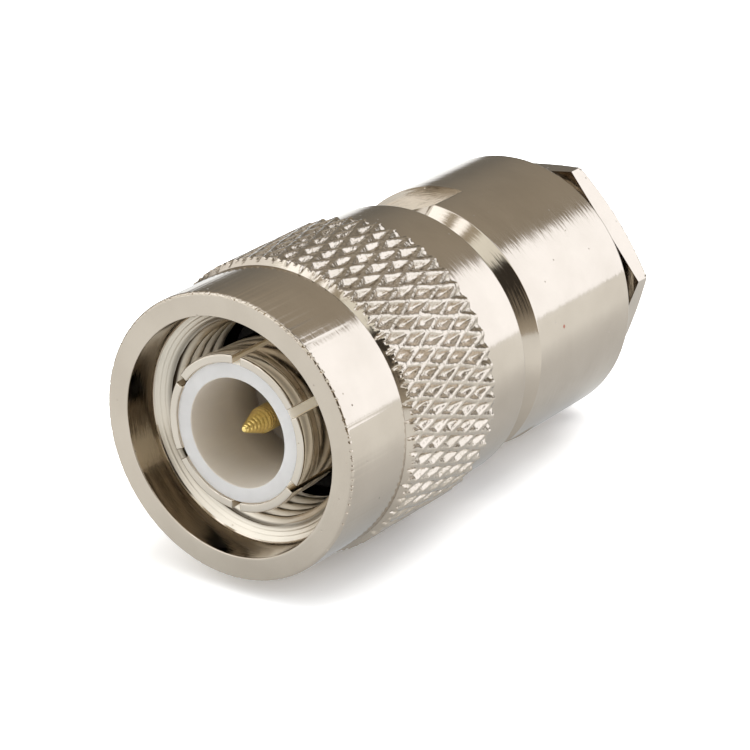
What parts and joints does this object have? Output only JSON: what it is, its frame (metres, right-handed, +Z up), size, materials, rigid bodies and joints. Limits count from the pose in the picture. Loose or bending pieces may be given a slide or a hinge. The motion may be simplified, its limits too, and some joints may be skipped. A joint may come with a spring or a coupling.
{
  "type": "threaded coaxial cable plug",
  "caption": "Threaded coaxial cable plug with a knurled coupling nut, slotted outer contact, white insulator, gold pin and a hexagonal clamp nut for the cable.",
  "frame": {"origin": "middle of the bounding box, on the connector's axis, halfway between the front rim of the coupling nut and the rear face of the clamp nut", "axes": "+X along the connector's axis from the mating end to the cable end, +Z up with the connector on its side as in the picture, +Y horizontal across it"},
  "size_m": [0.029, 0.0156, 0.0156],
  "materials": {
    "nickel_plated_brass": "polished nickel plate over turned brass",
    "nickel_plated_contact": "satin nickel plate",
    "spring_bronze": "bright spring bronze",
    "gold_plated_brass": "satin gold plate",
    "white_fluoroplastic": "turned white fluoroplastic",
    "silicone_rubber": "moulded dark silicone rubber"
  },
  "bodies": {
    "connector": {"connector_body": "nickel_plated_brass", "outer_contact": "nickel_plated_contact", "front_insulator": "white_fluoroplastic", "rear_insulator": "white_fluoroplastic", "centre_contact": "gold_plated_brass", "mating_gasket": "silicone_rubber", "nut_retaining_ring": "spring_bronze", "braid_clamp": "nickel_plated_brass", "cable_gasket": "silicone_rubber"},
    "coupling_nut": {"coupling_nut": "nickel_plated_brass"},
    "slip_washer": {"slip_washer": "nickel_plated_brass"},
    "clamp_nut": {"clamp_nut": "nickel_plated_brass"}
  },
  "joints": [
    {"name": "coupling_nut_spin", "type": "hinge", "parent": "connector", "child": "coupling_nut", "pos_m": [0, 0, 0], "axis": [1, 0, 0], "continuous": true},
    {"name": "clamp_nut_travel", "type": "slide", "parent": "connector", "child": "slip_washer", "axis": [1, 0, 0], "range_m": [-0.0013, 0.0044]},
    {"name": "clamp_nut_turn", "type": "hinge", "parent": "slip_washer", "child": "clamp_nut", "pos_m": [0, 0, 0], "axis": [1, 0, 0], "range_deg": [-515, 1745]}
  ],
  "couplings": [
    {"joint": "clamp_nut_travel", "follows": "clamp_nut_turn", "m_per_rad": 0.00014438}
  ]
}
